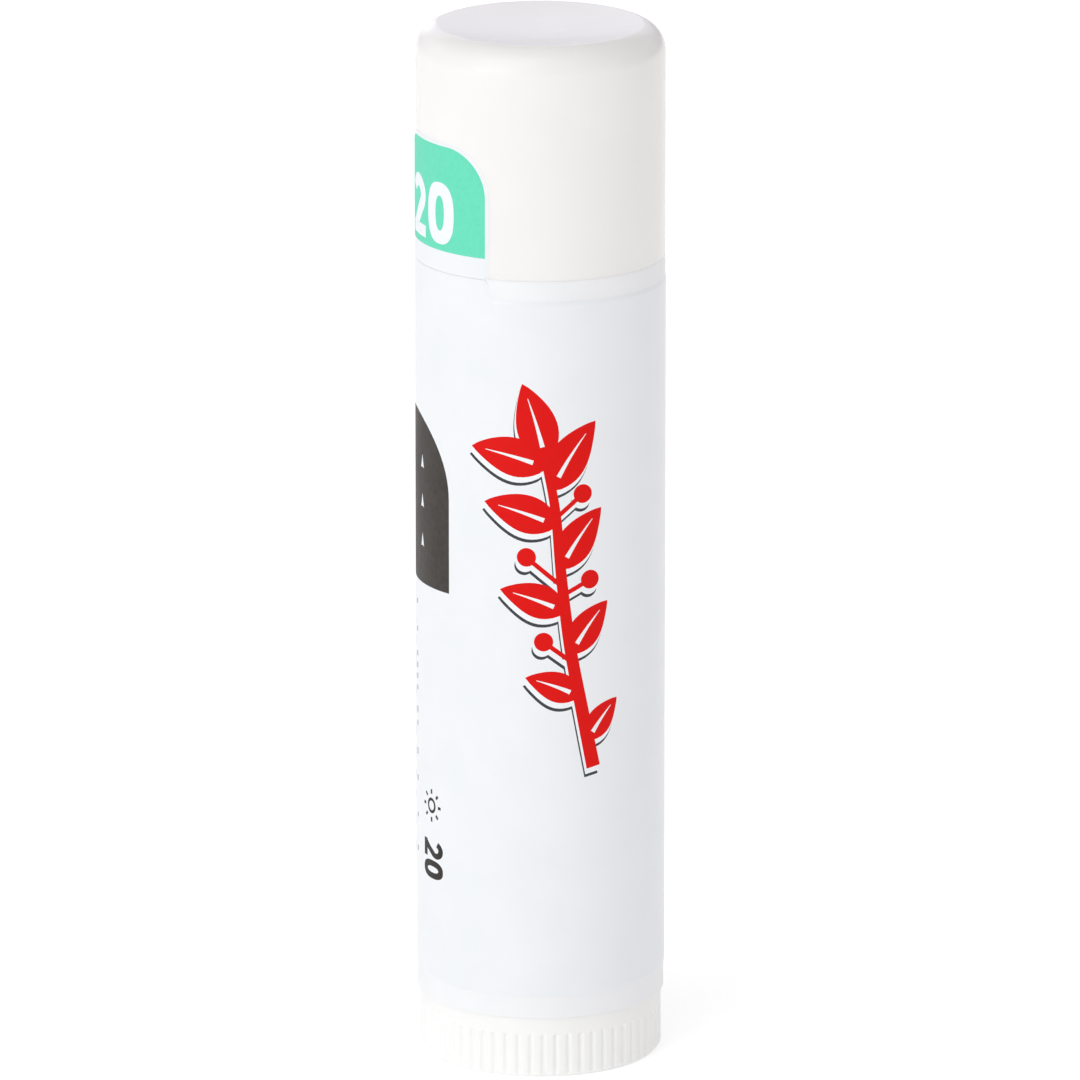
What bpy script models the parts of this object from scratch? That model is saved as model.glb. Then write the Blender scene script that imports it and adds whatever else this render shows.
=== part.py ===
"""A twist-up lip balm stick, built from the pieces that it comes apart into on a bench.

Blender 4.5, metres, +Z up. The origin is the middle of the foot that the stick stands on, and the
printed front of the stick faces -Y. Each piece is modelled from its own base up and then set at its
height in the stack.
"""

import math

import bmesh
import bpy
from mathutils import Matrix

# The whole stick
STICK_HEIGHT = 0.0680
CAP_RADIUS = 0.0080
JOINT_GAP = 0.00015

# Cap
CAP_HEIGHT = 0.0150
CAP_WALL = 0.0011
CAP_CROWN = 0.0010
CAP_SHOULDER = 0.0012
CAP_CORNER = 0.0009
CAP_MOUTH_EDGE = 0.00015
DISH_DEPTH = 0.0006
HEAD_ROOM = 0.0029

# Snap beads of the cap and the neck
BEAD_RISE = 0.0001
BEAD_LENGTH = 0.0008
BEAD_CLEARANCE = 0.00005
BEAD_PLAY = 0.0001
CAP_BEAD_LIFT = 0.0010
BEAD_RAMP_SHARE = 0.3

# Tube
TUBE_INSET = 0.00003
TUBE_EDGE = 0.0001
NECK_WALL = 0.0008
NECK_LIP = 0.00025
FLANGE_THICKNESS = 0.0010
FLANGE_WIDTH = 0.0012
GUIDE_RIBS = 4
GUIDE_RIB_WIDTH = 0.0010
GUIDE_RIB_RISE = 0.00035
GUIDE_RIB_DROP = 0.0020

# Wrap label and the seal tab that it leaves on the cap
LABEL_THICKNESS = 0.00006
LABEL_GAP = 0.00003
LABEL_FOOT_MARGIN = 0.0017
LABEL_HEAD_MARGIN = 0.00145
PERFORATION_GAP = 0.00004
SEAM_OVERLAP = 0.0020
SEAM_RAMP = 0.0008
TAB_WIDTH = 0.0102
TAB_HEIGHT = 0.0082
TAB_CORNER = 0.0030
SEAM_ANGLE = 150.0
TAB_RIGHT_ANGLE = -25.6
SHEET_STEP_ANGLE = 5.0

# Wheel
WHEEL_INSET = 0.00016
WHEEL_HEIGHT = 0.00395
WHEEL_EDGE = 0.00015
FOOT_CHAMFER = 0.0003
FOOT_WIDTH = 0.0018
RECESS_DEPTH = 0.0024
WHEEL_RIBS = 60
WHEEL_RIB_HEIGHT = 0.0030
GROOVE_DEPTH = 0.00022
GROOVE_WIDTH_SHARE = 0.42

# Snap hub of the wheel
HUB_CLEARANCE = 0.0001
HUB_BEAD = 0.00035
HUB_BEAD_LENGTH = 0.0004
HUB_TAPER = 0.0007
HUB_WALL = 0.0012
HUB_SLOTS = 4
HUB_SLOT_WIDTH = 0.0008
HUB_SLOT_LIFT = 0.0003

# Lead screw and its nut
SCREW_RADIUS = 0.00195
THREAD_DEPTH = 0.00065
SCREW_LEAD = 0.0032
SCREW_DROP = 0.0100
THREAD_CLEARANCE = 0.00016
CREST_SHARE = 0.22
FLANK_SHARE = 0.16
CREST_POINTS = 4
ROOT_POINTS = 5
SCREW_RINGS_A_TURN = 10
NUT_RINGS_A_TURN = 24

# Elevator cup
CUP_REST_GAP = 0.0006
CUP_CLEARANCE = 0.00012
CUP_WALL = 0.0007
CUP_FLOOR = 0.0010
CUP_HEIGHT = 0.0080
NUT_HEIGHT = 0.0080
NUT_THREAD = 0.0048
NUT_WALL = 0.0009
RIB_CLEARANCE = 0.00015

# Balm
BALM_CLEARANCE = 0.00006
CAST_GAP = 0.00005
BALM_PROUD = 0.0010
BALM_DOME = 0.0004
BALM_EDGE = 0.0004
BALM_BORE_CLEARANCE = 0.00015
BALM_BORE_HEAD = 0.0004

# How finely round pieces are cut, and how far a cutter runs past what it cuts
OUTER_STEPS = 48
INNER_STEPS = 36
CORNER_STEPS = 4
OVERRUN = 0.0005
MERGE_DISTANCE = 0.000001
SHARP_ANGLE = math.radians(30)

# Radii that follow from fits, from the outside in
CAP_BORE = CAP_RADIUS - CAP_WALL
NECK_RADIUS = CAP_BORE - BEAD_RISE - BEAD_CLEARANCE - BEAD_RISE
TUBE_RADIUS = CAP_RADIUS - TUBE_INSET
TUBE_BORE = NECK_RADIUS - NECK_WALL
GUIDE_RIB_CREST = TUBE_BORE - GUIDE_RIB_RISE
FLANGE_HOLE = TUBE_BORE - FLANGE_WIDTH
WHEEL_RADIUS = CAP_RADIUS - WHEEL_INSET
HUB_RADIUS = FLANGE_HOLE - HUB_CLEARANCE
CUP_RADIUS = TUBE_BORE - CUP_CLEARANCE
CUP_BORE = CUP_RADIUS - CUP_WALL
BALM_RADIUS = TUBE_BORE - BALM_CLEARANCE
RIB_SLOT_FLOOR = GUIDE_RIB_CREST - RIB_CLEARANCE
RIB_SLOT_WIDTH = GUIDE_RIB_WIDTH + 2 * RIB_CLEARANCE

# Where the seal tab ends on its left, so that its width is right along the wrap
TAB_LEFT_ANGLE = TAB_RIGHT_ANGLE - math.degrees(TAB_WIDTH / TUBE_RADIUS)

# Heights in the stack, from the foot up
TUBE_BASE = WHEEL_HEIGHT + JOINT_GAP
CAP_BASE = STICK_HEIGHT - CAP_HEIGHT
SHOULDER = CAP_BASE - JOINT_GAP
CAP_CEILING = STICK_HEIGHT - DISH_DEPTH - CAP_CROWN
BALM_TOP = CAP_CEILING - HEAD_ROOM
NECK_TOP = BALM_TOP - BALM_PROUD
PERFORATION = CAP_BASE - JOINT_GAP / 2
HUB_BEAD_BASE = TUBE_BASE + FLANGE_THICKNESS + JOINT_GAP
HUB_TOP = HUB_BEAD_BASE + HUB_BEAD_LENGTH + HUB_TAPER
CUP_BASE = HUB_TOP + CUP_REST_GAP
CUP_FLOOR_TOP = CUP_BASE + NUT_HEIGHT + CUP_FLOOR
SCREW_TOP = NECK_TOP - SCREW_DROP


def collection(name):
    made = bpy.data.collections.new(name)
    bpy.context.scene.collection.children.link(made)
    return made


def linear(channel):
    """One sRGB channel, 0 to 255, as the linear value that a shader takes."""
    share = channel / 255
    return share / 12.92 if share <= 0.04045 else ((share + 0.055) / 1.055) ** 2.4


def finish(name, red, green, blue, roughness):
    made = bpy.data.materials.new(name)
    made.use_nodes = True
    shader = made.node_tree.nodes["Principled BSDF"]
    shader.inputs["Base Color"].default_value = (linear(red), linear(green), linear(blue), 1)
    shader.inputs["Roughness"].default_value = roughness
    shader.inputs["Metallic"].default_value = 0
    return made


def add_object(name, mesh, group):
    made = bpy.data.objects.new(name, mesh)
    group.objects.link(made)
    return made


def mesh_from(name, bm):
    mesh = bpy.data.meshes.new(name)
    bm.to_mesh(mesh)
    bm.free()
    return mesh


def as_cutter(helper):
    helper.hide_render = True
    helper.display_type = "WIRE"
    return helper


def arc(centre_radius, centre_height, radius, start, end):
    """Profile points round a centre, from one angle to another in degrees, 0 outwards and 90 up."""
    points = []
    for i in range(CORNER_STEPS + 1):
        angle = math.radians(start + (end - start) * i / CORNER_STEPS)
        points.append((centre_radius + radius * math.cos(angle), centre_height + radius * math.sin(angle)))
    return points


def bow(rim_radius, rise, radius):
    """How far a shallow spherical surface has left its middle at this radius."""
    sphere = (rim_radius**2 + rise**2) / (2 * rise)
    return sphere - math.sqrt(sphere**2 - radius**2)


def bead(wall_radius, rise, low):
    """A snap bead's four profile points going up, on a wall that it leaves by rise."""
    ramp = BEAD_LENGTH * BEAD_RAMP_SHARE
    high = low + BEAD_LENGTH
    crest = wall_radius + rise
    return [(wall_radius, low), (crest, low + ramp), (crest, high - ramp), (wall_radius, high)]


def turned(name, profile, steps, group):
    """A profile of (radius, height) points turned round Z. It closes itself unless it ends on the axis."""
    bm = bmesh.new()
    corners = [bm.verts.new((radius, 0, height)) for radius, height in profile]
    for first, second in zip(corners, corners[1:]):
        bm.edges.new((first, second))
    if profile[0][0] > 0:
        bm.edges.new((corners[-1], corners[0]))
    made = add_object(name, mesh_from(name, bm), group)
    screw = made.modifiers.new("turn", "SCREW")
    screw.angle = math.tau
    screw.steps = steps
    screw.render_steps = steps
    screw.use_merge_vertices = True
    screw.merge_threshold = MERGE_DISTANCE
    return made


def radial_blocks(name, count, inner, outer, width, low, high, group):
    """Upright blocks round the axis, the first at +X, each from the inner to the outer radius."""
    bm = bmesh.new()
    for i in range(count):
        spot = Matrix.Rotation(math.tau * i / count, 4, "Z")
        spot @= Matrix.Translation(((inner + outer) / 2, 0, (low + high) / 2))
        spot @= Matrix.Diagonal((outer - inner, width, high - low, 1))
        bmesh.ops.create_cube(bm, size=1, matrix=spot)
    return add_object(name, mesh_from(name, bm), group)


def boolean(target, helper, operation):
    as_cutter(helper)
    helper.parent = target
    step = target.modifiers.new(helper.name, "BOOLEAN")
    step.operation = operation
    step.object = helper


def thread_outline(clearance):
    """The thread as a level cut shows it, (radius, share of a turn): one ridge on a round core."""
    crest = CREST_SHARE / 2 + clearance / SCREW_LEAD
    root = crest + FLANK_SHARE
    core = SCREW_RADIUS - THREAD_DEPTH
    points = []
    for i in range(CREST_POINTS):
        points.append((SCREW_RADIUS + clearance, crest * (2 * i / (CREST_POINTS - 1) - 1)))
    for i in range(ROOT_POINTS):
        points.append((core + clearance, root + (1 - 2 * root) * i / (ROOT_POINTS - 1)))
    return points


def left_hand_thread(name, low, high, base, clearance, rings_a_turn, group):
    """The outline carried up and round from low to high. Its turn follows the height above the foot."""
    start = -(base + low) / SCREW_LEAD
    turns = (high - low) / SCREW_LEAD
    rings = math.ceil(turns * rings_a_turn)
    bm = bmesh.new()
    corners = []
    for radius, share in thread_outline(clearance):
        angle = math.tau * (start + share)
        corners.append(bm.verts.new((radius * math.cos(angle), radius * math.sin(angle), low)))
    bmesh.ops.spin(
        bm,
        geom=[bm.faces.new(corners)],
        axis=(0, 0, 1),
        dvec=(0, 0, (high - low) / rings),
        angle=-math.tau * turns,
        steps=rings,
    )
    bmesh.ops.holes_fill(bm, edges=bm.edges)
    bmesh.ops.recalc_face_normals(bm, faces=bm.faces)
    return add_object(name, mesh_from(name, bm), group)


def on_cylinder(angle, radius, height):
    """A place round the stick: 0 degrees faces the front, and the angle grows to the right of it."""
    turn = math.radians(angle)
    return (radius * math.sin(turn), -radius * math.cos(turn), height)


def angles_between(stops):
    """Angles through all the stops in turn, no further apart than the sheets' step."""
    angles = [stops[0]]
    for start, end in zip(stops, stops[1:]):
        count = math.ceil((end - start) / SHEET_STEP_ANGLE)
        angles += [start + (end - start) * i / count for i in range(1, count + 1)]
    return angles


def wrapped_sheet(name, angles, radius_at, heights_at, group):
    """A thin sheet round the stick. Each angle has a column of points at its heights, from low to high."""
    bm = bmesh.new()
    columns = []
    for angle in angles:
        heights = heights_at(angle)
        columns.append([bm.verts.new(on_cylinder(angle, radius_at(angle), height)) for height in heights])
    for left, right in zip(columns, columns[1:]):
        for row in range(min(len(left), len(right)) - 1):
            bm.faces.new((left[row], right[row], right[row + 1], left[row + 1]))
    made = add_object(name, mesh_from(name, bm), group)
    solidify = made.modifiers.new("paper", "SOLIDIFY")
    solidify.thickness = LABEL_THICKNESS
    solidify.offset = 1
    solidify.use_even_offset = True
    return made


def make_cap(parts):
    height = STICK_HEIGHT - CAP_BASE
    ceiling = CAP_CEILING - CAP_BASE
    rim = CAP_RADIUS - CAP_SHOULDER
    floor = height - DISH_DEPTH
    profile = []
    for i in range(CORNER_STEPS):
        radius = rim * i / CORNER_STEPS
        profile.append((radius, floor + bow(rim, DISH_DEPTH, radius)))
    profile += arc(rim, height - CAP_SHOULDER, CAP_SHOULDER, 90, 0)
    profile += [(CAP_RADIUS, CAP_MOUTH_EDGE), (CAP_RADIUS - CAP_MOUTH_EDGE, 0)]
    profile += [(CAP_BORE + CAP_MOUTH_EDGE, 0), (CAP_BORE, CAP_MOUTH_EDGE)]
    profile += bead(CAP_BORE, -BEAD_RISE, CAP_BEAD_LIFT)
    profile += arc(CAP_BORE - CAP_CORNER, ceiling - CAP_CORNER, CAP_CORNER, 0, 90)
    profile.append((0, ceiling))
    return turned("cap", profile, OUTER_STEPS, parts)


def make_seal_tab(parts):
    low = PERFORATION + PERFORATION_GAP / 2 - CAP_BASE
    high = low + TAB_HEIGHT
    corner_angle = math.degrees(TAB_CORNER / CAP_RADIUS)
    stops = [TAB_LEFT_ANGLE, TAB_LEFT_ANGLE + corner_angle]
    stops += [TAB_RIGHT_ANGLE - corner_angle, TAB_RIGHT_ANGLE]

    def heights_at(angle):
        inside = min(angle - TAB_LEFT_ANGLE, TAB_RIGHT_ANGLE - angle)
        short = max(1 - inside / corner_angle, 0)
        return [low, high - TAB_CORNER * (1 - math.sqrt(max(1 - short**2, 0)))]

    return wrapped_sheet(
        "seal_tab", angles_between(stops), lambda angle: CAP_RADIUS + LABEL_GAP, heights_at, parts
    )


def make_tube(parts, cutters):
    shoulder = SHOULDER - TUBE_BASE
    top = NECK_TOP - TUBE_BASE
    bead_low = shoulder + JOINT_GAP + CAP_BEAD_LIFT + BEAD_LENGTH + BEAD_PLAY
    profile = [(NECK_RADIUS - NECK_LIP, top), (NECK_RADIUS, top - NECK_LIP)]
    profile += reversed(bead(NECK_RADIUS, BEAD_RISE, bead_low))
    profile += [(NECK_RADIUS, shoulder), (TUBE_RADIUS - TUBE_EDGE, shoulder)]
    profile += [(TUBE_RADIUS, shoulder - TUBE_EDGE), (TUBE_RADIUS, TUBE_EDGE)]
    profile += [(TUBE_RADIUS - TUBE_EDGE, 0), (FLANGE_HOLE, 0), (FLANGE_HOLE, FLANGE_THICKNESS)]
    profile += [(TUBE_BORE, FLANGE_THICKNESS), (TUBE_BORE, top)]
    made = turned("tube", profile, OUTER_STEPS, parts)
    ribs = radial_blocks(
        "guide_ribs",
        GUIDE_RIBS,
        GUIDE_RIB_CREST,
        TUBE_BORE + NECK_WALL / 2,
        GUIDE_RIB_WIDTH,
        FLANGE_THICKNESS / 2,
        top - GUIDE_RIB_DROP,
        cutters,
    )
    boolean(made, ribs, "UNION")
    return made


def make_wrap_label(parts):
    low = LABEL_FOOT_MARGIN
    high = SHOULDER - LABEL_HEAD_MARGIN - TUBE_BASE
    tongue = PERFORATION - PERFORATION_GAP / 2 - TUBE_BASE
    under = TUBE_RADIUS + LABEL_GAP
    start = SEAM_ANGLE - 360
    ramp_start = SEAM_ANGLE - math.degrees(SEAM_RAMP / under)
    end = SEAM_ANGLE + math.degrees(SEAM_OVERLAP / under)

    def radius_at(angle):
        share = min(max((angle - ramp_start) / (SEAM_ANGLE - ramp_start), 0), 1)
        return under + (LABEL_THICKNESS + LABEL_GAP) * share

    def heights_at(angle):
        in_tongue = TAB_LEFT_ANGLE <= angle <= TAB_RIGHT_ANGLE
        return [low, high, tongue] if in_tongue else [low, high]

    stops = [start, TAB_LEFT_ANGLE, TAB_RIGHT_ANGLE, ramp_start, SEAM_ANGLE, end]
    return wrapped_sheet("wrap_label", angles_between(stops), radius_at, heights_at, parts)


def make_wheel_and_screw(parts, cutters):
    foot_inner = WHEEL_RADIUS - FOOT_CHAMFER - FOOT_WIDTH
    hub_bore = HUB_RADIUS - HUB_WALL
    bead_radius = HUB_RADIUS + HUB_BEAD
    profile = [(0, WHEEL_HEIGHT), (hub_bore, WHEEL_HEIGHT), (hub_bore, HUB_TOP)]
    profile += [(HUB_RADIUS - HUB_BEAD, HUB_TOP), (bead_radius, HUB_TOP - HUB_TAPER)]
    profile += [(bead_radius, HUB_BEAD_BASE), (HUB_RADIUS, HUB_BEAD_BASE), (HUB_RADIUS, WHEEL_HEIGHT)]
    profile += [(WHEEL_RADIUS - WHEEL_EDGE, WHEEL_HEIGHT), (WHEEL_RADIUS, WHEEL_HEIGHT - WHEEL_EDGE)]
    profile += [(WHEEL_RADIUS, FOOT_CHAMFER), (WHEEL_RADIUS - FOOT_CHAMFER, 0), (foot_inner, 0)]
    profile += [(foot_inner, RECESS_DEPTH), (0, RECESS_DEPTH)]
    made = turned("wheel_and_screw", profile, WHEEL_RIBS, parts)
    grooves = radial_blocks(
        "wheel_grooves",
        WHEEL_RIBS,
        WHEEL_RADIUS - GROOVE_DEPTH,
        WHEEL_RADIUS + OVERRUN,
        math.tau * WHEEL_RADIUS / WHEEL_RIBS * GROOVE_WIDTH_SHARE,
        -OVERRUN,
        WHEEL_RIB_HEIGHT,
        cutters,
    )
    grooves.rotation_euler.z = math.pi / WHEEL_RIBS
    boolean(made, grooves, "DIFFERENCE")
    slots = radial_blocks(
        "hub_slots",
        HUB_SLOTS,
        hub_bore - OVERRUN,
        bead_radius + OVERRUN,
        HUB_SLOT_WIDTH,
        WHEEL_HEIGHT + HUB_SLOT_LIFT,
        HUB_TOP + OVERRUN,
        cutters,
    )
    boolean(made, slots, "DIFFERENCE")
    low = (RECESS_DEPTH + WHEEL_HEIGHT) / 2
    thread = left_hand_thread("screw_thread", low, SCREW_TOP, 0, 0, SCREW_RINGS_A_TURN, cutters)
    boolean(made, thread, "UNION")
    return made


def make_elevator_cup(parts, cutters):
    floor_top = NUT_HEIGHT + CUP_FLOOR
    top = floor_top + CUP_HEIGHT
    nut_bore = SCREW_RADIUS + THREAD_CLEARANCE
    profile = [(0, floor_top), (CUP_BORE, floor_top), (CUP_BORE, top), (CUP_RADIUS, top)]
    profile += [(CUP_RADIUS, NUT_HEIGHT), (nut_bore + NUT_WALL, NUT_HEIGHT), (nut_bore + NUT_WALL, 0), (0, 0)]
    made = turned("elevator_cup", profile, INNER_STEPS, parts)
    drill_profile = [(0, floor_top + OVERRUN), (nut_bore, floor_top + OVERRUN)]
    drill_profile += [(nut_bore, NUT_THREAD), (0, NUT_THREAD)]
    drill = turned("nut_drill", drill_profile, INNER_STEPS, cutters)
    boolean(made, drill, "DIFFERENCE")
    tap_top = NUT_THREAD + OVERRUN
    tap = left_hand_thread(
        "nut_tap", -OVERRUN, tap_top, CUP_BASE, THREAD_CLEARANCE, NUT_RINGS_A_TURN, cutters
    )
    boolean(made, tap, "DIFFERENCE")
    notches = radial_blocks(
        "rib_notches",
        GUIDE_RIBS,
        RIB_SLOT_FLOOR,
        CUP_RADIUS + OVERRUN,
        RIB_SLOT_WIDTH,
        NUT_HEIGHT - OVERRUN,
        top + OVERRUN,
        cutters,
    )
    boolean(made, notches, "DIFFERENCE")
    petal_slots = radial_blocks(
        "petal_slots",
        GUIDE_RIBS,
        CUP_BORE - OVERRUN,
        RIB_SLOT_FLOOR + OVERRUN,
        RIB_SLOT_WIDTH,
        floor_top,
        top + OVERRUN,
        cutters,
    )
    boolean(made, petal_slots, "DIFFERENCE")
    return made


def make_balm(parts, cutters):
    base = CUP_FLOOR_TOP + CAST_GAP
    spigot_radius = CUP_BORE - CAST_GAP
    edge_height = BALM_TOP - BALM_DOME - base
    bore_radius = SCREW_RADIUS + BALM_BORE_CLEARANCE
    bore_top = SCREW_TOP + BALM_BORE_HEAD - base
    flat_radius = BALM_RADIUS - BALM_EDGE
    profile = []
    for i in range(CORNER_STEPS):
        radius = flat_radius * i / CORNER_STEPS
        profile.append((radius, BALM_TOP - base - bow(flat_radius, BALM_DOME, radius)))
    profile += arc(flat_radius, edge_height - BALM_EDGE, BALM_EDGE, 90, 0)
    profile += [(BALM_RADIUS, CUP_HEIGHT), (spigot_radius, CUP_HEIGHT), (spigot_radius, 0)]
    profile += [(bore_radius, 0), (bore_radius, bore_top), (0, bore_top)]
    made = turned("balm", profile, INNER_STEPS, parts)
    grooves = radial_blocks(
        "balm_grooves",
        GUIDE_RIBS,
        RIB_SLOT_FLOOR,
        BALM_RADIUS + OVERRUN,
        RIB_SLOT_WIDTH,
        CUP_HEIGHT - OVERRUN,
        edge_height + OVERRUN,
        cutters,
    )
    boolean(made, grooves, "DIFFERENCE")
    return made


def set_at(piece, carrier, base, carrier_base, material):
    """Gives a piece its material and its place above the piece that carries it."""
    piece.data.materials.append(material)
    piece.parent = carrier
    piece.location.z = base - carrier_base


def smooth(piece):
    """Makes the piece one plain mesh, shaded smooth up to its sharp edges."""
    graph = bpy.context.evaluated_depsgraph_get()
    mesh = bpy.data.meshes.new_from_object(piece.evaluated_get(graph))
    mesh.name = piece.name
    mesh.shade_smooth()
    mesh.set_sharp_from_angle(angle=SHARP_ANGLE)
    piece.modifiers.clear()
    piece.data = mesh


def main():
    for old in list(bpy.data.objects):
        bpy.data.objects.remove(old)
    parts = collection("lip_balm_stick")
    cutters = collection("cutters")

    tube = make_tube(parts, cutters)
    wrap_label = make_wrap_label(parts)
    wheel = make_wheel_and_screw(parts, cutters)
    cup = make_elevator_cup(parts, cutters)
    balm = make_balm(parts, cutters)
    cap = make_cap(parts)
    seal_tab = make_seal_tab(parts)

    set_at(tube, None, TUBE_BASE, 0, finish("white_tube_plastic", 240, 240, 240, 0.35))
    set_at(wrap_label, tube, TUBE_BASE, TUBE_BASE, finish("white_label_film", 238, 242, 247, 0.3))
    set_at(wheel, tube, 0, TUBE_BASE, finish("white_wheel_plastic", 242, 243, 240, 0.35))
    set_at(cup, tube, CUP_BASE, TUBE_BASE, finish("white_cup_plastic", 236, 236, 232, 0.4))
    set_at(balm, cup, CUP_FLOOR_TOP + CAST_GAP, CUP_BASE, finish("ivory_balm_wax", 240, 228, 196, 0.4))
    set_at(cap, tube, CAP_BASE, TUBE_BASE, finish("white_cap_plastic", 245, 243, 240, 0.25))
    set_at(seal_tab, cap, CAP_BASE, CAP_BASE, finish("green_tab_print", 94, 216, 185, 0.3))

    bpy.context.view_layer.update()
    for piece in (tube, wrap_label, wheel, cup, balm, cap, seal_tab):
        smooth(piece)


main()
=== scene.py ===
"""The looks of a white twist-up lip balm stick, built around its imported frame.

Every mould, film and ink here takes its place from the frame's boxes. Flat artwork is drawn in
millimetres on the unrolled wrap: the first number is the distance round the stick from the middle of
its front, growing to the right, and the second is the height above the foot.
"""

import math
import random

import bmesh
import bpy
from mathutils import Matrix, Vector
from mathutils.geometry import delaunay_2d_cdt


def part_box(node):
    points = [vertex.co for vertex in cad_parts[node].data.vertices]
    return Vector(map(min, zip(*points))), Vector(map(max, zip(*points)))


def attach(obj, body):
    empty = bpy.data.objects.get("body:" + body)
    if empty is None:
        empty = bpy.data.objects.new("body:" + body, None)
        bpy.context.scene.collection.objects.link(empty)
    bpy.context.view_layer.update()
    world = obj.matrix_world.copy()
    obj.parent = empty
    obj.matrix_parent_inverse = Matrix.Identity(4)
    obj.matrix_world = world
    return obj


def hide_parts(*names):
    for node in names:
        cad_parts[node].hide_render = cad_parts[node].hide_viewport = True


MM = 0.001

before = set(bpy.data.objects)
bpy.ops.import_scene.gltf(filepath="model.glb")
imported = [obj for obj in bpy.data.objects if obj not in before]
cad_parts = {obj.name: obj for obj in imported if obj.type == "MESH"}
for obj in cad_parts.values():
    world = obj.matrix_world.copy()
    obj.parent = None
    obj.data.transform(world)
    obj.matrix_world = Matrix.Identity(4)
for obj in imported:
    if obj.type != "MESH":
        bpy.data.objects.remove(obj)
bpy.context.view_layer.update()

# Sizes that the frame gives, in millimetres


def top_of(node):
    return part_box(node)[1].z / MM


def foot_of(node):
    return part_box(node)[0].z / MM


def radius_of(node):
    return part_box(node)[1].x / MM


STICK_TOP = top_of("cap")
CAP_FOOT = foot_of("cap")
CAP_RADIUS = radius_of("cap")
TUBE_FOOT = foot_of("tube")
TUBE_TOP = top_of("tube")
# The tube is drawn flush with the cap, as the photograph has it.
TUBE_RADIUS = CAP_RADIUS
LABEL_FOOT = foot_of("wrap_label")
TONGUE_TOP = top_of("wrap_label")
TAB_FOOT = foot_of("seal_tab")
TAB_TOP = top_of("seal_tab")
BALM_FOOT = foot_of("balm")
BALM_TOP = top_of("balm")
BALM_RADIUS = radius_of("balm")
SCREW_TOP = top_of("wheel_and_screw")

# Cap, in millimetres. Its crest is a tight round that leaves the dish at one angle and runs into the
# wider round of the shoulder at another, both in degrees.
CAP_WALL = 1.1
CAP_CROWN = 1.0
SHOULDER_ROUND = 1.8
CREST_ROUND = 0.35
CREST_LEAN = 15
DISH_DEPTH = 0.35
DISH_RIM_SLOPE = 6
MOUTH_ROUND = 0.012
CEILING_ROUND = 0.9
SNAP_RISE = 0.1
SNAP_LENGTH = 0.8
SNAP_RAMP = 0.24
CAP_SNAP_LIFT = 1.0

# Tube. The cap and the wheel close on it with only a hair of air, so the joints hardly show.
CLOSED_GAP = 0.001
TUBE_EDGE = 0.01
NECK_RADIUS = 6.65
NECK_LIP = 0.25
TUBE_BORE = 5.85
NECK_SNAP_LIFT = 1.9
FLANGE_HOLE = 4.65
FLANGE_THICKNESS = 1.0
GUIDE_RIBS = 4
GUIDE_RIB_CREST = 5.5
GUIDE_RIB_WIDTH = 1.0
GUIDE_RIB_DROP = 2.0

# Wrap label and seal tab, which lie close on the tube and the cap
FILM_THICKNESS = 0.042
GLUE_GAP = 0.003
# How wide a film's edge slopes: gently where it is cut, so that it draws no line, and steeply where torn
EDGE_SLOPE = 0.25
TORN_SLOPE = 0.01
# The radius at which a distance on the flat artwork is true
PRINT_RADIUS = CAP_RADIUS + GLUE_GAP + FILM_THICKNESS
LABEL_HEAD = 51.4
SEAM_ANGLE = 150
SEAM_OVERLAP = 2.0
SEAM_RAMP = 0.8
TAB_RIGHT = -3.64
TAB_WIDTH = 10.1
TAB_LEFT = TAB_RIGHT - TAB_WIDTH
TAB_CORNER = 3.0
TONGUE_FILLET = 0.7

# Wheel, its hub and its screw
WHEEL_RADIUS = 7.84
WHEEL_HEIGHT = TUBE_FOOT - CLOSED_GAP
WHEEL_EDGE = 0.012
FOOT_CHAMFER = 0.3
FOOT_WIDTH = 1.8
RECESS_DEPTH = 2.4
RECESS_ROUND = 0.4
WHEEL_RIBS = 60
RIB_TOP = 3.02
GROOVE_DEPTH = 0.12
GROOVE_WIDTH = 0.46
GROOVE_TURN = 1.4
HUB_RADIUS = 4.55
HUB_BORE = 3.35
HUB_SNAP = 0.35
HUB_SNAP_FOOT = 5.25
HUB_TOP = 6.35
HUB_ROOT_DEPTH = RECESS_DEPTH / 4
HUB_TAPER = 0.7
HUB_SLOTS = 4
HUB_SLOT_WIDTH = 0.8
SCREW_RADIUS = 1.95
SCREW_CORE = 1.3
SCREW_LEAD = 3.2
# The thread's crest and each flank, as shares of the lead
CREST_SHARE = 0.22
FLANK_SHARE = 0.16

# Balm
BALM_DOME = 0.4
BALM_EDGE = 0.4
# Where the dome runs into the round of the edge, in degrees
BALM_EDGE_START = 80
SPIGOT_RADIUS = 4.98
SPIGOT_HEIGHT = 8.0
BALM_BORE = 2.1
BALM_BORE_HEAD = 0.4
BALM_SLOT_FLOOR = 5.35
BALM_SLOT_WIDTH = 1.3

# How finely the pieces are cut
TURN_STEPS = 192
WHEEL_STEPS_A_RIB = 16
ARC_STEPS = 12
CREST_STEPS = 8
SHOULDER_STEPS = 24
WHEEL_EDGE_STEPS = 5
RECESS_STEPS = 6
GROOVE_TOP_STEPS = 12
SCREW_STEPS_A_TURN = 24
THREAD_CREST_STEPS = 6
THREAD_ROOT_STEPS = 10
TONGUE_FILLET_STEPS = 8
TAB_CORNER_STEPS = 16
LEAF_STEPS = 16
DISC_STEPS = 28
NOUGHT_STEPS = 40
PANEL_HEAD_STEPS = 36
DROP_STEPS = 16
SHARP_ANGLE = 32
FILM_STEP = 0.42
# How far a block that cuts or joins reaches past the surface that it ends at
OVERRUN = 0.5

# Camera, from the photograph's perspective
CAMERA_ELEVATION = 15.18
CAMERA_DISTANCE = 742
CAMERA_LENS = 383.6
CAMERA_SENSOR = 36
CAMERA_AIM = (-0.03, 0, 33.88)
# How near and how far the camera sees
CAMERA_NEAR = 50
CAMERA_FAR = 10000


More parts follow.
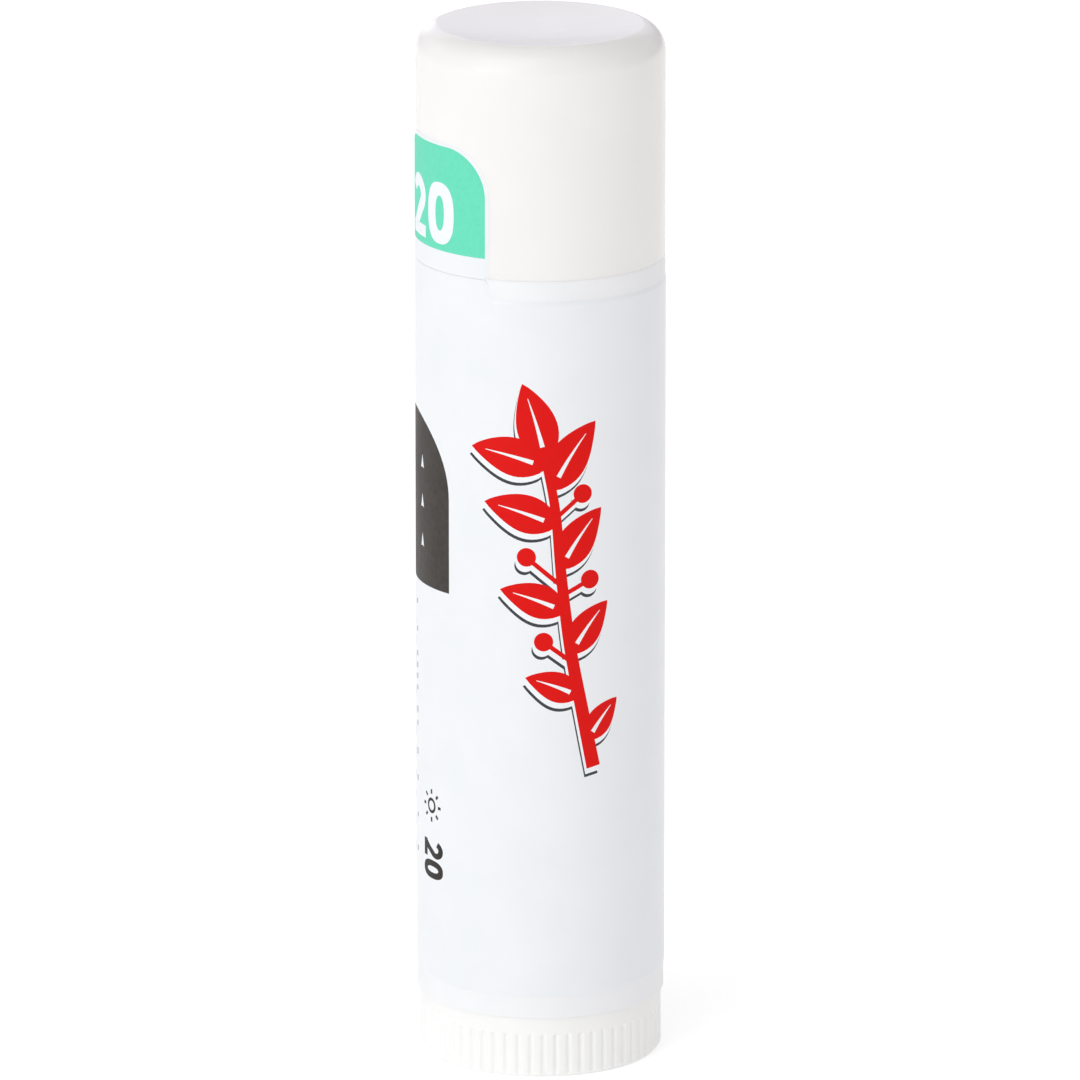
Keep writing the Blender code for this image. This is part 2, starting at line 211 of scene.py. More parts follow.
def at(angle, radius, height):
    """A place round the stick in metres. 0 degrees faces the front, and the angle grows to the right."""
    turn = math.radians(angle)
    return Vector((radius * math.sin(turn), -radius * math.cos(turn), height)) * MM


def arc(centre_x, centre_y, radius, start, end, steps=ARC_STEPS):
    """Points round a centre, from one angle to another in degrees, both ends included."""
    turns = [math.radians(start + (end - start) * i / steps) for i in range(steps + 1)]
    return [(centre_x + radius * math.cos(turn), centre_y + radius * math.sin(turn)) for turn in turns]


def bowed(rim_radius, rise, radius):
    """How far a shallow spherical surface has left its middle at this radius."""
    sphere = (rim_radius**2 + rise**2) / (2 * rise)
    return sphere - math.sqrt(sphere**2 - radius**2)


def snap_bead(wall_radius, rise, low):
    """A snap bead's profile going up, on a wall that it leaves by rise."""
    crest = wall_radius + rise
    high = low + SNAP_LENGTH
    return [(wall_radius, low), (crest, low + SNAP_RAMP), (crest, high - SNAP_RAMP), (wall_radius, high)]


def add_object(name, data):
    made = bpy.data.objects.new(name, data)
    bpy.context.scene.collection.objects.link(made)
    return made


def mesh_of(name, bm):
    mesh = bpy.data.meshes.new(name)
    bm.to_mesh(mesh)
    bm.free()
    return mesh


def applied(piece):
    """The piece with its modifiers made part of its mesh."""
    graph = bpy.context.evaluated_depsgraph_get()
    mesh = bpy.data.meshes.new_from_object(piece.evaluated_get(graph))
    mesh.name = piece.name
    piece.modifiers.clear()
    piece.data = mesh
    return piece


def shaded(piece):
    """Shades the piece smooth up to its sharp edges."""
    piece.data.shade_smooth()
    piece.data.set_sharp_from_angle(angle=math.radians(SHARP_ANGLE))
    return piece


def turned(name, profile, steps=TURN_STEPS):
    """A profile of (radius, height) points in millimetres, turned round the stick's axis."""
    bm = bmesh.new()
    corners = [bm.verts.new((radius * MM, 0, height * MM)) for radius, height in profile]
    for first, second in zip(corners, corners[1:]):
        bm.edges.new((first, second))
    if profile[0][0] > 0:
        bm.edges.new((corners[-1], corners[0]))
    made = add_object(name, mesh_of(name, bm))
    screw = made.modifiers.new("turn", "SCREW")
    screw.steps = steps
    screw.render_steps = steps
    screw.use_merge_vertices = True
    screw.merge_threshold = MM / 1000
    return applied(made)


def radial_blocks(name, count, inner, outer, width, low, high):
    """Upright blocks round the axis, the first at +X, each from the inner to the outer radius."""
    bm = bmesh.new()
    for i in range(count):
        spot = Matrix.Rotation(math.tau * i / count, 4, "Z")
        spot @= Matrix.Translation(Vector(((inner + outer) / 2, 0, (low + high) / 2)) * MM)
        spot @= Matrix.Diagonal((*Vector((outer - inner, width, high - low)) * MM, 1))
        bmesh.ops.create_cube(bm, size=1, matrix=spot)
    return add_object(name, mesh_of(name, bm))


def combined(piece, helper, operation):
    """The piece with the helper joined to it or cut from it. The helper is used up."""
    step = piece.modifiers.new(helper.name, "BOOLEAN")
    step.operation = operation
    step.object = helper
    applied(piece)
    bpy.data.objects.remove(helper)
    return piece


# Finishes


def srgb(code):
    """The linear colour that a shader takes, from an sRGB hex value."""
    shares = [int(code[i : i + 2], 16) / 255 for i in (1, 3, 5)]
    linear = [c / 12.92 if c <= 0.04045 else ((c + 0.055) / 1.055) ** 2.4 for c in shares]
    return (*linear, 1)


def fill(tree, node, sockets):
    """Gives each of these sockets of a node its value, or a link from another node's output."""
    for name, value in sockets.items():
        if isinstance(value, bpy.types.NodeSocket):
            tree.links.new(value, node.inputs[name])
        else:
            node.inputs[name].default_value = value


def add(tree, kind, sockets=None, **settings):
    """Adds a node with its settings, and fills its sockets."""
    made = tree.nodes.new(kind)
    for name, value in settings.items():
        setattr(made, name, value)
    fill(tree, made, sockets or {})
    return made


# The colour sockets of a Mix node share their names with its other sockets, so they go by number.
FIRST_COLOUR = 6
SECOND_COLOUR = 7
MIXED_COLOUR = 2
# Nearly all of a noise lies between these.
NOISE_LOW = 0.3
NOISE_HIGH = 0.7


def grain(where, size, detail=2.0, roughness=0.5):
    """The settings of a soft noise with features of this many millimetres."""
    return {"Vector": where, "Scale": 1 / (size * MM), "Detail": detail, "Roughness": roughness}


def uneven(tree, features, low, high):
    """A value that drifts between low and high over these features."""
    noise = add(tree, "ShaderNodeTexNoise", features).outputs["Fac"]
    reach = {"From Min": NOISE_LOW, "From Max": NOISE_HIGH, "To Min": low, "To Max": high}
    return add(tree, "ShaderNodeMapRange", {"Value": noise, **reach}).outputs["Result"]


def two_toned(tree, features, first, second):
    """A colour that drifts between two close hex values over these features."""
    share = uneven(tree, features, 0, 1)
    tones = {"Factor": share, FIRST_COLOUR: srgb(first), SECOND_COLOUR: srgb(second)}
    return add(tree, "ShaderNodeMix", tones, data_type="RGBA").outputs[MIXED_COLOUR]


def relief(tree, features, depth):
    """The lean of a surface that rises by depth millimetres with these features."""
    height = add(tree, "ShaderNodeTexNoise", features).outputs["Fac"]
    rise = {"Height": height, "Distance": depth * MM, "Strength": 1.0}
    return add(tree, "ShaderNodeBump", rise).outputs["Normal"]


def surface(name, look):
    """A material with the look that one function gives, from its node tree and the piece's own space."""
    made = bpy.data.materials.new(name)
    made.use_nodes = True
    tree = made.node_tree
    where = add(tree, "ShaderNodeTexCoord").outputs["Object"]
    fill(tree, tree.nodes["Principled BSDF"], look(tree, where))
    return made


POLYPROPYLENE_IOR = 1.49
FILM_IOR = 1.5
WAX_IOR = 1.44
INK_GLOSS = 0.12
# White polypropylene lets a little light 0.4 mm in, which fills its grooves and joints.
POLYPROPYLENE_GLOW = {
    "Subsurface Weight": 0.15,
    "Subsurface Radius": (1.0, 1.0, 1.0),
    "Subsurface Scale": 0.4 * MM,
}
# Wax lets in more, and red further than blue.
WAX_GLOW = {
    "Subsurface Weight": 0.35,
    "Subsurface Radius": (1.0, 0.8, 0.5),
    "Subsurface Scale": 0.8 * MM,
}
# The least and the most roughness of each finish. Each pair stays on one side of 0.274, where the
# renderer's noise filter changes how it takes a surface and would draw the edges of the unevenness.
POLISHED_ROUGHNESS = (0.2, 0.265)
SATIN_ROUGHNESS = (0.34, 0.46)
FILM_ROUGHNESS = (0.285, 0.35)
INK_ROUGHNESS = (0.45, 0.55)
WAX_ROUGHNESS = (0.4, 0.56)


def cap_polypropylene(tree, where):
    """Polypropylene moulded in a polished cavity: warm white and glossy, with a faint swim."""
    return {
        "Base Color": two_toned(tree, grain(where, 6.0), "#F1F0EE", "#EEEDEB"),
        "Roughness": uneven(tree, grain(where, 1.4, detail=4), *POLISHED_ROUGHNESS),
        # The polish of the cavity leaves waves about 1.1 mm long, which soften the edge of a reflection.
        "Normal": relief(tree, grain(where, 1.1, detail=1), 0.002),
        "IOR": POLYPROPYLENE_IOR,
        **POLYPROPYLENE_GLOW,
    }


def satin_polypropylene(warm, cool):
    """Polypropylene moulded in a cavity with a fine spark texture, which gives a satin white."""

    def look(tree, where):
        return {
            "Base Color": two_toned(tree, grain(where, 5.0), warm, cool),
            "Roughness": uneven(tree, grain(where, 0.9, detail=3), *SATIN_ROUGHNESS),
            # Real spark texture is about 0.02 mm. It is drawn at 0.09 mm so that it still shows.
            "Normal": relief(tree, grain(where, 0.09), 0.0012),
            "IOR": POLYPROPYLENE_IOR,
            **POLYPROPYLENE_GLOW,
        }

    return look


def film_skin(tree, where, roughness):
    """What every part of the label shares: stretched film that is laid a little unevenly on its glue."""
    return {
        "Roughness": uneven(tree, grain(where, 2.2, detail=3), *roughness),
        # The glue under the film lies in ripples about 2.5 mm long.
        "Normal": relief(tree, grain(where, 2.5), 0.005),
        "IOR": FILM_IOR,
    }


def bare_film(tree, where):
    """White biaxially stretched polypropylene film: cool white, with the glue's faint cloudiness."""
    return {
        **film_skin(tree, where, FILM_ROUGHNESS),
        "Base Color": two_toned(tree, grain(where, 3.5, detail=3), "#ECEEF1", "#E9ECEF"),
    }


def ink(full, thin):
    """Flexo ink on the film: duller than the bare film, and thinner about every 0.35 mm."""

    def look(tree, where):
        return {
            **film_skin(tree, where, INK_ROUGHNESS),
            "Base Color": two_toned(tree, grain(where, 0.35, detail=4, roughness=0.6), full, thin),
            "Specular IOR Level": INK_GLOSS,
        }

    return look


def balm_wax(tree, where):
    """Cast wax balm: ivory, cloudy and waxy, with light that sinks about a millimetre in."""
    return {
        "Base Color": two_toned(tree, grain(where, 1.8, detail=4), "#F1E6C8", "#EBDDB8"),
        "Roughness": uneven(tree, grain(where, 0.6, detail=3), *WAX_ROUGHNESS),
        # Cooling leaves a skin of crystals about 0.4 mm across.
        "Normal": relief(tree, grain(where, 0.4, detail=3), 0.01),
        "IOR": WAX_IOR,
        **WAX_GLOW,
    }


CAP_PLASTIC = surface("cap_polypropylene_polished", cap_polypropylene)
TUBE_PLASTIC = surface("tube_polypropylene_satin", satin_polypropylene("#F0F1F3", "#EDEEF0"))
WHEEL_PLASTIC = surface("wheel_polypropylene_satin", satin_polypropylene("#F5F5F4", "#F2F2F1"))
ELEVATOR_PLASTIC = surface("elevator_polypropylene_satin", satin_polypropylene("#EDEDE9", "#E8E8E4"))
FILM = surface("label_film_white", bare_film)
WHITE_INK = surface("label_ink_white", ink("#F1F4F7", "#ECF0F3"))
RED_INK = surface("label_ink_red", ink("#DE0E0A", "#D9120E"))
SHADOW_INK = surface("label_ink_shadow_grey", ink("#3C3E42", "#46484C"))
GREEN_INK = surface("label_ink_green", ink("#66DAB6", "#70DDBC"))
PANEL_INK = surface("label_ink_panel_brown_grey", ink("#3E3A37", "#474340"))
FIGURE_INK = surface("label_ink_figures_dark", ink("#2E2B29", "#3D3A38"))
RULED_INK = surface("label_ink_ruled_grey", ink("#8F9096", "#9EA0A6"))
WAX = surface("balm_wax_ivory", balm_wax)


def finished(piece, body, material, slot, *nodes):
    """Gives the piece its material and the body that carries it, and hides the frame's nodes that it
    stands for.
    """
    if material:
        piece.data.materials.clear()
        piece.data.materials.append(material)
    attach(piece, body)
    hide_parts(*nodes)
    return piece


# Moulded pieces


def make_cap():
    """The hollow cap: a shallow dish, its crest and shoulder, the mouth and the snap bead inside."""
    lean = math.radians(CREST_LEAN)
    inward = SHOULDER_ROUND - CREST_ROUND
    shoulder_middle = CAP_RADIUS - SHOULDER_ROUND
    crest_middle = shoulder_middle + inward * math.sin(lean)
    crest_foot = STICK_TOP - CREST_ROUND
    shoulder_foot = crest_foot - inward * math.cos(lean)
    meeting = 90 - CREST_LEAN
    crest = arc(crest_middle, crest_foot, CREST_ROUND, 90 + DISH_RIM_SLOPE, meeting, CREST_STEPS)
    shoulder = arc(shoulder_middle, shoulder_foot, SHOULDER_ROUND, meeting, 0, SHOULDER_STEPS)
    dish_rim, dish_top = crest[0]
    rise = DISH_DEPTH - (STICK_TOP - dish_top)
    bore = CAP_RADIUS - CAP_WALL
    ceiling = STICK_TOP - DISH_DEPTH - CAP_CROWN
    profile = []
    for i in range(ARC_STEPS):
        radius = dish_rim * i / ARC_STEPS
        profile.append((radius, STICK_TOP - DISH_DEPTH + bowed(dish_rim, rise, radius)))
    profile += [*crest, *shoulder[1:]]
    profile += arc(CAP_RADIUS - MOUTH_ROUND, CAP_FOOT + MOUTH_ROUND, MOUTH_ROUND, 0, -90)
    profile += arc(bore + MOUTH_ROUND, CAP_FOOT + MOUTH_ROUND, MOUTH_ROUND, 270, 180)
    profile += snap_bead(bore, -SNAP_RISE, CAP_FOOT + CAP_SNAP_LIFT)
    profile += arc(bore - CEILING_ROUND, ceiling - CEILING_ROUND, CEILING_ROUND, 0, 90)
    profile.append((0, ceiling))
    cap = shaded(turned("cap_moulding", profile))
    return finished(cap, "cap", CAP_PLASTIC, "cap", "cap")


def make_tube():
    """The barrel with its neck and snap bead, the flange at its foot and the ribs in its bore."""
    shoulder = CAP_FOOT - CLOSED_GAP
    profile = arc(NECK_RADIUS - NECK_LIP, TUBE_TOP - NECK_LIP, NECK_LIP, 90, 0)
    profile += reversed(snap_bead(NECK_RADIUS, SNAP_RISE, CAP_FOOT + NECK_SNAP_LIFT))
    profile.append((NECK_RADIUS, shoulder))
    profile += arc(TUBE_RADIUS - TUBE_EDGE, shoulder - TUBE_EDGE, TUBE_EDGE, 90, 0)
    profile += arc(TUBE_RADIUS - TUBE_EDGE, TUBE_FOOT + TUBE_EDGE, TUBE_EDGE, 0, -90)
    profile += [(FLANGE_HOLE, TUBE_FOOT), (FLANGE_HOLE, TUBE_FOOT + FLANGE_THICKNESS)]
    profile += [(TUBE_BORE, TUBE_FOOT + FLANGE_THICKNESS), (TUBE_BORE, TUBE_TOP)]
    tube = turned("tube_moulding", profile)
    ribs = radial_blocks(
        "guide_ribs",
        GUIDE_RIBS,
        inner=GUIDE_RIB_CREST,
        outer=(TUBE_BORE + NECK_RADIUS) / 2,
        width=GUIDE_RIB_WIDTH,
        low=TUBE_FOOT + FLANGE_THICKNESS / 2,
        high=TUBE_TOP - GUIDE_RIB_DROP,
    )
    tube = shaded(combined(tube, ribs, "UNION"))
    return finished(tube, "stick_body", TUBE_PLASTIC, "tube", "tube")


def groove_depth(angle, height):
    """How deep the thumb wheel's wall is cut here. A groove is soft in section and round at its top."""
    pitch = 360 / WHEEL_RIBS
    across = math.radians((angle - GROOVE_TURN + pitch / 2) % pitch - pitch / 2) * WHEEL_RADIUS
    half = GROOVE_WIDTH / 2
    above = max(height - (RIB_TOP - half), 0)
    share = min(math.hypot(across, above) / half, 1)
    return GROOVE_DEPTH * math.cos(math.pi / 2 * share) ** 2


def make_wheel():
    """The thumb wheel with a groove between each two of its ribs, and the recess under it."""
    foot_outer = WHEEL_RADIUS - FOOT_CHAMFER
    foot_inner = foot_outer - FOOT_WIDTH
    wall = [WHEEL_HEIGHT - WHEEL_EDGE]
    wall += [RIB_TOP - GROOVE_WIDTH / 2 * i / GROOVE_TOP_STEPS for i in range(GROOVE_TOP_STEPS + 1)]
    wall += [FOOT_CHAMFER, FOOT_CHAMFER - GROOVE_DEPTH]
    profile = [(0, WHEEL_HEIGHT)]
    rim = arc(WHEEL_RADIUS - WHEEL_EDGE, WHEEL_HEIGHT - WHEEL_EDGE, WHEEL_EDGE, 90, 0, WHEEL_EDGE_STEPS)
    profile += rim[:-1]
    profile += [(min(WHEEL_RADIUS, foot_outer + height), height) for height in wall]
    profile += [(foot_outer, 0), (foot_inner, 0)]
    recess_corner = (foot_inner - RECESS_ROUND, RECESS_DEPTH - RECESS_ROUND)
    profile += arc(*recess_corner, RECESS_ROUND, 0, 90, RECESS_STEPS)
    profile.append((0, RECESS_DEPTH))
    wheel = turned("thumb_wheel", profile, WHEEL_RIBS * WHEEL_STEPS_A_RIB)
    for vertex in wheel.data.vertices:
        spot = vertex.co / MM
        radius = spot.xy.length
        if radius > WHEEL_RADIUS - GROOVE_DEPTH and spot.z < RIB_TOP:
            cut = WHEEL_RADIUS - groove_depth(math.degrees(math.atan2(spot.y, spot.x)), spot.z)
            if cut < radius:
                vertex.co.xy *= cut / radius
    return finished(shaded(wheel), "wheel", WHEEL_PLASTIC, "wheel_and_screw", "wheel_and_screw")


def make_hub_and_screw():
    """The slotted snap hub and the left-hand lead screw, one moulding with the wheel."""
    root = WHEEL_HEIGHT - HUB_ROOT_DEPTH
    snap_radius = HUB_RADIUS + HUB_SNAP
    profile = [(0, WHEEL_HEIGHT), (HUB_BORE, WHEEL_HEIGHT), (HUB_BORE, HUB_TOP)]
    profile += [(HUB_RADIUS - HUB_SNAP, HUB_TOP), (snap_radius, HUB_TOP - HUB_TAPER)]
    profile += [(snap_radius, HUB_SNAP_FOOT), (HUB_RADIUS, HUB_SNAP_FOOT), (HUB_RADIUS, root), (0, root)]
    hub = turned("hub_and_screw", profile, TURN_STEPS // 2)
    slots = radial_blocks(
        "hub_slots",
        HUB_SLOTS,
        inner=HUB_BORE - OVERRUN,
        outer=snap_radius + OVERRUN,
        width=HUB_SLOT_WIDTH,
        low=TUBE_FOOT,
        high=HUB_TOP + OVERRUN,
    )
    combined(hub, slots, "DIFFERENCE")
    low = (root + WHEEL_HEIGHT) / 2
    turns = (SCREW_TOP - low) / SCREW_LEAD
    rings = math.ceil(turns * SCREW_STEPS_A_TURN)
    crest = CREST_SHARE / 2
    root_share = crest + FLANK_SHARE
    outline = []
    for i in range(THREAD_CREST_STEPS + 1):
        outline.append((SCREW_RADIUS, crest * (2 * i / THREAD_CREST_STEPS - 1)))
    for i in range(THREAD_ROOT_STEPS + 1):
        outline.append((SCREW_CORE, root_share + (1 - 2 * root_share) * i / THREAD_ROOT_STEPS))
    bm = bmesh.new()
    corners = []
    for radius, share in outline:
        turn = math.tau * (share - low / SCREW_LEAD)
        corner = Vector((radius * math.cos(turn), radius * math.sin(turn), low)) * MM
        corners.append(bm.verts.new(corner))
    bmesh.ops.spin(
        bm,
        geom=[bm.faces.new(corners)],
        axis=(0, 0, 1),
        dvec=(0, 0, (SCREW_TOP - low) / rings * MM),
        angle=-math.tau * turns,
        steps=rings,
    )
    bmesh.ops.holes_fill(bm, edges=bm.edges)
    bmesh.ops.recalc_face_normals(bm, faces=bm.faces)
    combined(hub, add_object("lead_screw", mesh_of("lead_screw", bm)), "UNION")
    return finished(shaded(hub), "wheel", WHEEL_PLASTIC, "wheel_and_screw", "wheel_and_screw")


def make_balm():
    """The balm with its dome, its spigot, the hole for the screw and the grooves for the tube's ribs."""
    flat = BALM_RADIUS - BALM_EDGE
    edge_top = BALM_TOP - BALM_DOME
    bore_top = SCREW_TOP + BALM_BORE_HEAD
    spigot_top = BALM_FOOT + SPIGOT_HEIGHT
    profile = []
    for i in range(ARC_STEPS):
        radius = flat * i / ARC_STEPS
        profile.append((radius, BALM_TOP - bowed(flat, BALM_DOME, radius)))
    profile += arc(flat, edge_top - BALM_EDGE, BALM_EDGE, BALM_EDGE_START, 0)
    profile += [(BALM_RADIUS, spigot_top), (SPIGOT_RADIUS, spigot_top), (SPIGOT_RADIUS, BALM_FOOT)]
    profile += [(BALM_BORE, BALM_FOOT), (BALM_BORE, bore_top), (0, bore_top)]
    balm = turned("balm_stick", profile)
    grooves = radial_blocks(
        "balm_grooves",
        GUIDE_RIBS,
        inner=BALM_SLOT_FLOOR,
        outer=BALM_RADIUS + OVERRUN,
        width=BALM_SLOT_WIDTH,
        low=spigot_top - OVERRUN,
        high=edge_top + OVERRUN,
    )
    balm = shaded(combined(balm, grooves, "DIFFERENCE"))
    return finished(balm, "elevator", WAX, "balm", "balm")


# Printed artwork

# The red sprig's stem, from its foot up
SPRIG_STEM = [(3.5, 20.8), (2.75, 24.5), (1.9, 29.0), (1.35, 33.5), (0.95, 38.0), (0.35, 41.2)]
STEM_WIDTH = 0.95
STEM_TAPER = 0.4
# Its leaves: the share of the way up the stem, the lean in degrees, the length, the width and the bend
SPRIG_LEAVES = [
    (0.10, -38, 3.3, 1.75, -0.16),
    (0.24, 52, 3.7, 1.95, 0.16),
    (0.37, -36, 4.1, 2.1, -0.16),
    (0.50, 54, 4.4, 2.2, 0.16),
    (0.63, -34, 4.7, 2.35, -0.16),
    (0.76, 56, 4.9, 2.45, 0.16),
    (0.88, -32, 5.2, 2.5, -0.16),
    (0.965, 60, 5.1, 2.5, 0.16),
    (1.0, 4, 5.3, 2.6, 0.08),
]
# The angle from which the leaves lean, along the middle of the stem
SPRIG_ANGLE = 98
# A smaller peak brings a leaf's widest place nearer its foot, and a smaller fullness makes it rounder.
LEAF_PEAK = 0.8
LEAF_FULLNESS = 0.85
LEAF_TIP = 0.04
VEIN_WIDTH = 0.26
# How many steps of the leaf's line the vein leaves bare at each end
VEIN_INSET = 3
# Its berries: the share of the way up the stem where the stalk leaves it, and the berry's place
SPRIG_BERRIES = [(0.36, 0.2, 29.3), (0.58, -0.9, 34.9), (0.55, 3.25, 33.3), (0.78, 2.75, 39.0)]
BERRY_RADIUS = 0.62
BERRY_STALK = 0.3
# How far right and up the two copies under the sprig are moved
WHITE_COPY_SHIFT = (-0.1, -0.36)
SHADOW_COPY_SHIFT = (-0.16, -0.56)

# The dark panel at the left of the front, with a round head over its spring line, and the drops in it
PANEL_MIDDLE = -11.75
PANEL_HALF_WIDTH = 5.19
PANEL_FOOT = 31.8
PANEL_SPRING = 38.0
DROP_MIDDLE = -9.85
DROP_HEIGHTS = (33.7, 36.3, 38.9)
DROP_RADIUS = 0.6
DROP_POINT = 1.45
# A drop is round from one of these angles to the other, and its two sides meet in a point above.
DROP_ANGLES = (215, -35)

# The rows of broken grey lines, from the one nearest the front
RULED_ROWS = 9
RULED_SEED = 7
RULED_START = -11.35
RULED_PITCH = 1.05
RULED_TOP = 30.4
RULED_END_RANGE = (13.0, 15.0)
RULED_WIDTH = 0.3
RULED_SHORTEST = 0.3
# The longest line and the widest gap, in the first row and in the others
FIRST_ROW_LIMITS = (0.45, 2.2)
ROW_LIMITS = (1.1, 1.1)

# Heavy figures, as shares of their height
DIGIT_WIDTH = 0.69
DIGIT_STEP = 0.76
NOUGHT_MIDDLE = (0.345, 0.5)

# The seal tab is green from here up, and the print runs past its edges.
GREEN_FOOT = 54.3
PRINT_BLEED = 1


def smooth_path(points, steps=8):
    """A smooth line through the points, as a Catmull-Rom spline."""
    ends = [2 * Vector(points[0]) - Vector(points[1]), 2 * Vector(points[-1]) - Vector(points[-2])]
    spots = [ends[0], *map(Vector, points), ends[1]]
    line = []
    for a, b, c, d in zip(spots, spots[1:], spots[2:], spots[3:]):
        for i in range(steps):
            t = i / steps
            straight = 2 * b + (c - a) * t
            square = (2 * a - 5 * b + 4 * c - d) * t**2
            cube = (3 * b - a - 3 * c + d) * t**3
            line.append((straight + square + cube) / 2)
    return [*line, Vector(points[-1])]


def brushed(line, width_at):
    """The outline of a stroke along a line. Its width, in millimetres, follows the share of the way."""
    left, right = [], []
    last = len(line) - 1
    for i, spot in enumerate(line):
        along = (line[min(i + 1, last)] - line[max(i - 1, 0)]).normalized()
        side = Vector((-along.y, along.x)) * width_at(i / last) / 2
        left.append(spot + side)
        right.append(spot - side)
    return [tuple(spot) for spot in right + left[::-1]]


def leaf(foot, angle, length, width, bend):
    """A pointed leaf's middle line and its outline. The angle, in degrees, is counted from the right."""
    out = Vector((math.cos(math.radians(angle)), math.sin(math.radians(angle))))
    side = Vector((-out.y, out.x))
    line = []
    for i in range(LEAF_STEPS + 1):
        t = i / LEAF_STEPS
        line.append(Vector(foot) + out * length * t + side * bend * length * t**2)

    def width_at(t):
        return LEAF_TIP + width * math.sin(math.pi * t**LEAF_PEAK) ** LEAF_FULLNESS

    return line, brushed(line, width_at)


def disc(x, y, radius):
    return arc(x, y, radius, 0, 360 - 360 / DISC_STEPS, DISC_STEPS - 1)


def oblong(left, right, low, high):
    return [(left, low), (right, low), (right, high), (left, high)]


def shifted(outlines, right, up):
    return [[(x + right, y + up) for x, y in outline] for outline in outlines]


def placed(outlines, x, y, width, height, turn):
    """Outlines drawn in units from their own origin, scaled to millimetres, turned and moved."""
    fit = Matrix.Rotation(math.radians(turn), 2) @ Matrix.Diagonal((width, height))
    return [[tuple(fit @ Vector(spot) + Vector((x, y))) for spot in outline] for outline in outlines]


def bold_two():
    """A heavy figure 2, one unit tall, with its lower left corner at the origin."""
    thickness = 0.215
    base_height = 0.2
    bowl = arc(centre_x=0.335, centre_y=0.68, radius=0.225, start=165, end=-28)
    tail = [(0.3, 0.28), (0.12, 0.1)]
    line = [Vector(spot) for spot in bowl + tail]
    stroke = brushed(line, lambda t: thickness if t < 1 else base_height)
    return [stroke, oblong(left=0.02, right=0.665, low=0, high=base_height)]


def bold_nought(half_width, half_height, squareness):
    """A heavy figure 0, one unit tall, or the hole in it."""
    middle_x, middle_y = NOUGHT_MIDDLE
    spots = []
    for i in range(NOUGHT_STEPS):
        turn = math.tau * i / NOUGHT_STEPS
        across, up = math.cos(turn), math.sin(turn)
        x = half_width * math.copysign(abs(across) ** (2 / squareness), across)
        y = half_height * math.copysign(abs(up) ** (2 / squareness), up)
        spots.append((middle_x + x, middle_y + y))
    return [spots]


def number_twenty(x, y, width, height, turn, colour, ground):
    """The plain number 20 as layers of the print, from its lower left corner."""
    digit = width / (DIGIT_WIDTH + DIGIT_STEP)
    nought = shifted(bold_nought(half_width=0.345, half_height=0.51, squareness=2.5), DIGIT_STEP, 0)
    hole = shifted(bold_nought(half_width=0.115, half_height=0.29, squareness=2.2), DIGIT_STEP, 0)
    figures = placed(bold_two() + nought, x, y, digit, height, turn)
    return [(colour, figures), (ground, placed(hole, x, y, digit, height, turn))]


def sun_icon(x, y, radius, colour):
    """A small ring with thin rays round it."""
    ray_count = 8
    ray_ends = (1.5, 2.1)
    line = 0.2
    rays = []
    for i in range(ray_count):
        out = Vector((math.cos(math.tau * i / ray_count), math.sin(math.tau * i / ray_count)))
        ends = [Vector((x, y)) + out * radius * share for share in ray_ends]
        rays.append(brushed(ends, lambda t: line))
    return [(colour, [disc(x, y, radius), *rays]), (FILM, [disc(x, y, radius - line)])]


def red_sprig():
    """A leafy sprig up the front, with a white and a dark copy of it set lower, which lift it."""
    stem = smooth_path(SPRIG_STEM)
    red = [brushed(stem, lambda t: STEM_WIDTH - STEM_TAPER * t)]
    veins = []
    for share, lean, length, width, bend in SPRIG_LEAVES:
        foot = stem[round(share * (len(stem) - 1))]
        line, outline = leaf(foot, SPRIG_ANGLE + lean, length, width, bend)
        red.append(outline)
        veins.append(brushed(line[VEIN_INSET:-VEIN_INSET], lambda t: VEIN_WIDTH * (1 - t) + LEAF_TIP))
    for share, x, height in SPRIG_BERRIES:
        foot = stem[round(share * (len(stem) - 1))]
        red.append(disc(x, height, BERRY_RADIUS))
        red.append(brushed([foot, Vector((x, height))], lambda t: BERRY_STALK))
    return [
        (SHADOW_INK, shifted(red, *SHADOW_COPY_SHIFT)),
        (WHITE_INK, shifted(red, *WHITE_COPY_SHIFT)),
        (RED_INK, red),
        (WHITE_INK, veins),
    ]


def arch_panel():
    """The dark panel with its round head, and three white drops in it."""
    left = PANEL_MIDDLE - PANEL_HALF_WIDTH
    right = PANEL_MIDDLE + PANEL_HALF_WIDTH
    head = arc(PANEL_MIDDLE, PANEL_SPRING, PANEL_HALF_WIDTH, 0, 180, PANEL_HEAD_STEPS)
    drops = []
    for height in DROP_HEIGHTS:
        belly = arc(DROP_MIDDLE, height, DROP_RADIUS, *DROP_ANGLES, DROP_STEPS)
        drops.append([*belly, (DROP_MIDDLE, height + DROP_POINT)])
    return [(PANEL_INK, [[(left, PANEL_FOOT), (right, PANEL_FOOT), *head]]), (WHITE_INK, drops)]


def ruled_lines():
    """Broken grey lines up the left side and on round to the back."""
    chance = random.Random(RULED_SEED)
    dashes = []
    for row in range(RULED_ROWS):
        x = RULED_START - RULED_PITCH * row
        longest, widest_gap = ROW_LIMITS if row else FIRST_ROW_LIMITS
        height = RULED_TOP
        end = chance.uniform(*RULED_END_RANGE)
        while height > end:
            length = chance.uniform(RULED_SHORTEST, longest)
            dashes.append(oblong(x, x + RULED_WIDTH, height - length, height))
            height -= length + chance.uniform(RULED_SHORTEST, widest_gap)
    return [(RULED_INK, dashes)]


# Printed films

# The kind of cut that keeps the triangles inside the shapes, and how near two of its points may be
INSIDE_SHAPES = 1
CUT_TOLERANCE = 0.0001
# A face belongs to the film's two sides where it faces outward or inward at least this squarely.
SIDE_FACING = 0.99


